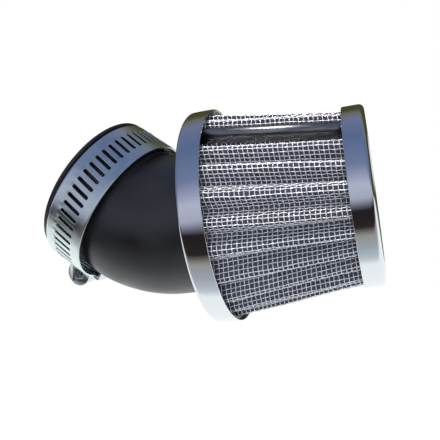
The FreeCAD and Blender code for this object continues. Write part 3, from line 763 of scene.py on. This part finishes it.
def rolled_zinc_strip(tree, place):
    """Zinc-plated, cold-rolled strip: bright, with fine rolling lines along the band."""
    across = add(tree, "ShaderNodeVectorMath", {"operation": "DOT_PRODUCT"}, {
        0: place, 1: MOUTH_WAY})
    lines = add(tree, NOISE, {"noise_dimensions": "1D"}, {
        "W": across.outputs["Value"], "Scale": per_mm(0.35), "Detail": 3.0})
    stain = add(tree, NOISE, None, {"Vector": place, "Scale": per_mm(6.0), "Detail": 4.0})
    cloud = add(tree, RANGE, None, {"Value": stain, **EVEN})
    return {
        "Base Color": add(tree, MIX, COLOUR_MIX, {
            "Factor": cloud, "A": colour("#c9d2d2"), "B": colour("#e6ecea")}),
        "Metallic": 1.0,
        "Roughness": add(tree, RANGE, None, {
            "Value": stain, **EVEN, "To Min": 0.20, "To Max": 0.30}),
        "Normal": add(tree, BUMP, None, {
            "Height": lines, "Distance": 0.006 * MM, "Strength": 0.7}),
    }


def pressed_zinc_steel(tree, place):
    """Zinc-plated pressing: bright, mottled where the sheet was drawn over the worm."""
    mottle = add(tree, NOISE, None, {"Vector": place, "Scale": per_mm(1.6), "Detail": 4.0})
    cloud = add(tree, RANGE, None, {"Value": mottle, **EVEN})
    return {
        "Base Color": add(tree, MIX, COLOUR_MIX, {
            "Factor": cloud, "A": colour("#bcc4c6"), "B": colour("#e0e5e5")}),
        "Metallic": 1.0,
        "Roughness": add(tree, RANGE, None, {
            "Value": mottle, **EVEN, "To Min": 0.16, "To Max": 0.30}),
        "Normal": add(tree, BUMP, None, {
            "Height": mottle, "Distance": 0.02 * MM, "Strength": 0.5}),
    }


def rolled_screw_steel(tree, place):
    """Plated, thread-rolled screw: duller than the pressing, with forming marks."""
    marks = add(tree, NOISE, None, {"Vector": place, "Scale": per_mm(0.9), "Detail": 4.0})
    cloud = add(tree, RANGE, None, {"Value": marks, **EVEN})
    return {
        "Base Color": add(tree, MIX, COLOUR_MIX, {
            "Factor": cloud, "A": colour("#969ba3"), "B": colour("#c3c6cb")}),
        "Metallic": 1.0,
        "Roughness": add(tree, RANGE, None, {
            "Value": marks, **EVEN, "To Min": 0.22, "To Max": 0.38}),
        "Normal": add(tree, BUMP, None, {
            "Height": marks, "Distance": 0.02 * MM, "Strength": 0.6}),
    }


def galvanised_wire(tree, place):
    """Drawn, galvanised wire: nearly white where light strikes it, patchy along its length."""
    patches = add(tree, NOISE, None, {"Vector": place, "Scale": per_mm(1.3), "Detail": 3.0})
    cloud = add(tree, RANGE, None, {"Value": patches, **EVEN})
    return {
        "Base Color": add(tree, MIX, COLOUR_MIX, {
            "Factor": cloud, "A": colour("#d2d4d9"), "B": colour("#fafbfd")}),
        "Metallic": 0.65,
        "Roughness": add(tree, RANGE, None, {
            "Value": patches, **EVEN, "To Min": 0.34, "To Max": 0.18}),
    }


def filter_gauze(tree, place):
    """Oiled filter gauze: dark, soft, fine threads with a lilac cast."""
    threads = add(tree, NOISE, None, {"Vector": place, "Scale": per_mm(0.22), "Detail": 4.0})
    patches = add(tree, NOISE, None, {"Vector": place, "Scale": per_mm(3.0), "Detail": 3.0})
    cloud = add(tree, RANGE, None, {"Value": patches, **EVEN})
    fibre = add(tree, RANGE, None, {"Value": threads, **EVEN})
    light = add(tree, MIX, COLOUR_MIX, {
        "Factor": cloud, "A": colour("#34343f"), "B": colour("#444552")})
    return {
        "Base Color": add(tree, MIX, COLOUR_MIX, {
            "Factor": fibre, "A": colour("#1f1f27"), "B": light}),
        "Roughness": 0.85,
        "Normal": add(tree, BUMP, None, {
            "Height": threads, "Distance": 0.08 * MM, "Strength": 0.8}),
    }


def poured_potting(tree, place):
    """Poured black polyurethane: half gloss, gently uneven where it set."""
    swell = add(tree, NOISE, None, {"Vector": place, "Scale": per_mm(2.5), "Detail": 3.0})
    return {
        "Base Color": colour("#0e0f12"),
        "Roughness": add(tree, RANGE, None, {
            "Value": swell, **EVEN, "To Min": 0.28, "To Max": 0.45}),
        "Normal": add(tree, BUMP, None, {
            "Height": swell, "Distance": 0.15 * MM, "Strength": 0.7}),
    }


def polished_seam_steel(tree, place):
    """Folded, polished steel strip: darker than the wire, with lines along its length."""
    stretch = add(tree, "ShaderNodeMapping", None, {"Vector": place, "Scale": (0.04, 1.0, 1.0)})
    lines = add(tree, NOISE, None, {"Vector": stretch, "Scale": per_mm(0.3), "Detail": 3.0})
    shade = add(tree, NOISE, None, {"Vector": stretch, "Scale": per_mm(1.2), "Detail": 3.0})
    cloud = add(tree, RANGE, None, {"Value": shade, **EVEN})
    return {
        "Base Color": add(tree, MIX, COLOUR_MIX, {
            "Factor": cloud, "A": colour("#6c6c6e"), "B": colour("#98989a")}),
        "Metallic": 1.0,
        "Roughness": add(tree, RANGE, None, {
            "Value": lines, **EVEN, "To Min": 0.24, "To Max": 0.36}),
        "Normal": add(tree, BUMP, None, {
            "Height": lines, "Distance": 0.01 * MM, "Strength": 0.6}),
    }


def studio_paper(tree, place):
    """White studio paper, lit evenly from behind."""
    fibre = add(tree, NOISE, None, {"Vector": place, "Scale": per_mm(30.0), "Detail": 3.0})
    return {
        "Base Color": add(tree, MIX, COLOUR_MIX, {
            "Factor": fibre, "A": colour("#f4f4f4"), "B": colour("#ffffff")}),
        "Roughness": 0.9,
        "Specular IOR Level": 0.1,
        "Emission Color": colour("#ffffff"),
        "Emission Strength": 1.0,
    }


# ---------------------------------------------------------------------------------------------
# Stage, surroundings, light and camera
# ---------------------------------------------------------------------------------------------


def floor():
    """A wide white floor well below the part, which hangs from its mount."""
    reach = 6000.0
    drop = 150.0
    level = cad_box[0].z / MM - drop
    corners = [(-reach, -reach, level), (reach, -reach, level),
               (reach, reach, level), (-reach, reach, level)]
    thing = link("studio_floor", mesh_from("studio_floor", corners, [(0, 1, 2, 3)]))
    thing.visible_glossy = False
    thing.visible_diffuse = False
    dress(thing, material(studio_paper))


# What the bright metal mirrors, as degrees up from the front, over the top and down behind:
# white paper below, a dark hedge, haze, blue sky, and an olive tree behind.
SURROUNDINGS = (
    (-180, "#f4f8f8"), (-98, "#f0f6f6"), (-88, "#bcc6cc"), (-72, "#a0a8b2"), (-56, "#98988f"),
    (-50, "#6a6663"), (-45, "#2c2625"), (-24, "#221f22"), (-18, "#6a6c7a"), (-10, "#a8adc0"),
    (6, "#b4bacc"), (18, "#969db8"), (32, "#6f7d9d"), (70, "#5a6b90"), (104, "#6a7692"),
    (116, "#6c6a64"), (128, "#45482f"), (150, "#3d3d24"), (172, "#4a4a22"), (180, "#f4f8f8"),
)


def surroundings():
    """White to the eye, soft grey light for matt surfaces, and garden and sky for bright metal."""
    world = bpy.data.worlds.new("surroundings")
    bpy.context.scene.world = world
    world.use_nodes = True
    tree = world.node_tree
    tree.nodes.clear()
    way = add(tree, "ShaderNodeSeparateXYZ", None, {
        "Vector": add(tree, "ShaderNodeTexCoord").outputs["Generated"]})
    front = add(tree, MATHS, {"operation": "MULTIPLY"}, {0: way.outputs["Y"], 1: -1.0})
    angle = add(tree, MATHS, {"operation": "ARCTAN2"}, {0: way.outputs["Z"], 1: front})
    share = add(tree, RANGE, None, {
        "Value": angle, "From Min": -math.pi, "From Max": math.pi})
    ramp = add(tree, "ShaderNodeValToRGB", None, {"Fac": share})
    stops = ramp.color_ramp.elements
    stops[0].position, stops[0].color = 0.0, colour(SURROUNDINGS[0][1])
    stops[1].position, stops[1].color = 1.0, colour(SURROUNDINGS[-1][1])
    for degrees, code in SURROUNDINGS[1:-1]:
        stops.new((degrees + 180) / 360).color = colour(code)
    path = add(tree, "ShaderNodeLightPath")
    backdrop = add(tree, "ShaderNodeBackground", None, {"Color": colour("#ffffff")})
    soft = add(tree, "ShaderNodeBackground", None, {"Color": colour("#eef0f4"), "Strength": 0.8})
    mirrored = add(tree, "ShaderNodeBackground", None, {
        "Color": ramp.outputs["Color"], "Strength": 1.25})
    shiny = add(tree, "ShaderNodeMixShader", None, {
        0: path.outputs["Is Glossy Ray"], 1: soft, 2: mirrored})
    seen = add(tree, "ShaderNodeMixShader", None, {
        0: path.outputs["Is Camera Ray"], 1: shiny, 2: backdrop})
    add(tree, "ShaderNodeOutputWorld", None, {"Surface": seen})


def soft_light(name, place, size, power, tint, only=None):
    """A square light aimed at the middle of the part. Bright metal mirrors it only if it falls
    on those pieces alone."""
    lamp = bpy.data.lights.new(name, "AREA")
    lamp.size = size * MM
    lamp.energy = power
    lamp.color = colour(tint)[:3]
    thing = link(name, lamp)
    thing.location = Vector(place) * MM
    thing.rotation_mode = "QUATERNION"
    middle = Vector((45.0, 0.0, AXIS_Z))
    thing.rotation_quaternion = (middle - Vector(place)).to_track_quat("-Z", "Y")
    thing.visible_glossy = only is not None
    if only is not None:
        lit = bpy.data.collections.new(name + "_falls_on")
        for piece in only:
            lit.objects.link(piece)
        thing.light_linking.receiver_collection = lit


def lights():
    """A high soft light from the left, a weak fill from the front, and a small lamp that makes
    the wires and the seam's strip sparkle."""
    sparkling = [bpy.data.objects[name] for name in (
        "outer_warp_wires", "outer_weft_wires", "seam_strip")]
    soft_light("high_soft", (-150.0, -350.0, 600.0), 500.0, 8.0, "#fff8f0")
    soft_light("front_fill", (60.0, -480.0, -180.0), 400.0, 4.2, "#f2f6ff")
    soft_light("sparkle", (80.0, -300.0, 540.0), 130.0, 2.5, "#fffaf2", sparkling)


def camera():
    """Three-quarter view from the cap's side, a little below the canister's axis."""
    lens = bpy.data.cameras.new("camera")
    lens.sensor_width = 36.0
    lens.lens = 49.9
    lens.clip_start = 0.01
    lens.clip_end = 50.0
    thing = link("camera", lens)
    ahead = Vector((-0.2584, 0.9558, 0.1406)).normalized()
    right = ahead.cross(Vector((0.1292, -0.1101, 0.9855))).normalized()
    turn = Matrix((right, right.cross(ahead), -ahead)).transposed()
    thing.matrix_world = Matrix.Translation(Vector((95.85, -193.99, -46.18)) * MM) @ turn.to_4x4()
    bpy.context.scene.camera = thing


# ---------------------------------------------------------------------------------------------
# The whole filter
# ---------------------------------------------------------------------------------------------


def dress_filter():
    """Pieces of the rigid body: elbow, ring, cap, pleated pack and seam."""
    rubber, chrome = material(moulded_rubber), material(chrome_plate)
    wire, gauze, potting = material(galvanised_wire), material(filter_gauze), material(poured_potting)
    fit(rubber_elbow(), "filter", "rubber", rubber, "rubber_neck")
    for thing, node in ((ring_plate(), "base_ring"), (cap_plate(), "end_cap")):
        fit(thing, "filter", "chrome", chrome, node)
    outer_middle = SCREEN / 2
    inner_middle = SCREEN + 2 * GAUZE + SCREEN / 2
    fit(warp_wires("outer_warp_wires", outer_middle, 6), "filter", "wire_cloth", wire, "outer_screen")
    fit(weft_wires("outer_weft_wires", outer_middle, 6), "filter", "wire_cloth", wire)
    fit(warp_wires("inner_warp_wires", inner_middle, 4), "filter", "wire_cloth", wire, "inner_screen")
    fit(weft_wires("inner_weft_wires", inner_middle, 4), "filter", "wire_cloth", wire)
    fit(gauze_ply("outer_gauze_ply", SCREEN), "filter", "gauze", gauze, "outer_gauze")
    fit(gauze_ply("inner_gauze_ply", SCREEN + GAUZE), "filter", "gauze", gauze, "inner_gauze")
    fit(seam_strip(), "filter", "dark_steel", material(polished_seam_steel), "seam_clip")
    for node in ("base_potting", "cap_potting"):
        dress(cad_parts[node], potting)


def dress_clamp():
    """Pieces of the band clamp: strap, fixed tongue, housing, saddle and screw."""
    strip, pressing = material(rolled_zinc_strip), material(pressed_zinc_steel)
    tail = HOUSING_ANGLE - TAIL_REACH
    strap = band("slotted_strap", STRAP_IN, tail, HOUSING_ANGLE + STRAP_REACH, True)
    tongue = band("plain_tongue", TONGUE_IN, HOUSING_ANGLE - TONGUE_REACH,
                  HOUSING_ANGLE + TONGUE_INSIDE, False)
    fit(strap, "strap", "plated_steel", strip, "clamp_strap")
    fit(tongue, "clamp", "plated_steel", strip, "clamp_tongue")
    fit(softened("worm_housing", "clamp_housing", 0.18), "clamp", "plated_steel", pressing,
        "clamp_housing")
    fit(softened("saddle_plate", "clamp_saddle", 0.12), "clamp", "plated_steel", pressing,
        "clamp_saddle")
    dress(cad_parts["clamp_screw"], material(rolled_screw_steel))


dress_filter()
dress_clamp()
floor()
surroundings()
lights()
camera()
bpy.context.scene.view_settings.view_transform = "Standard"
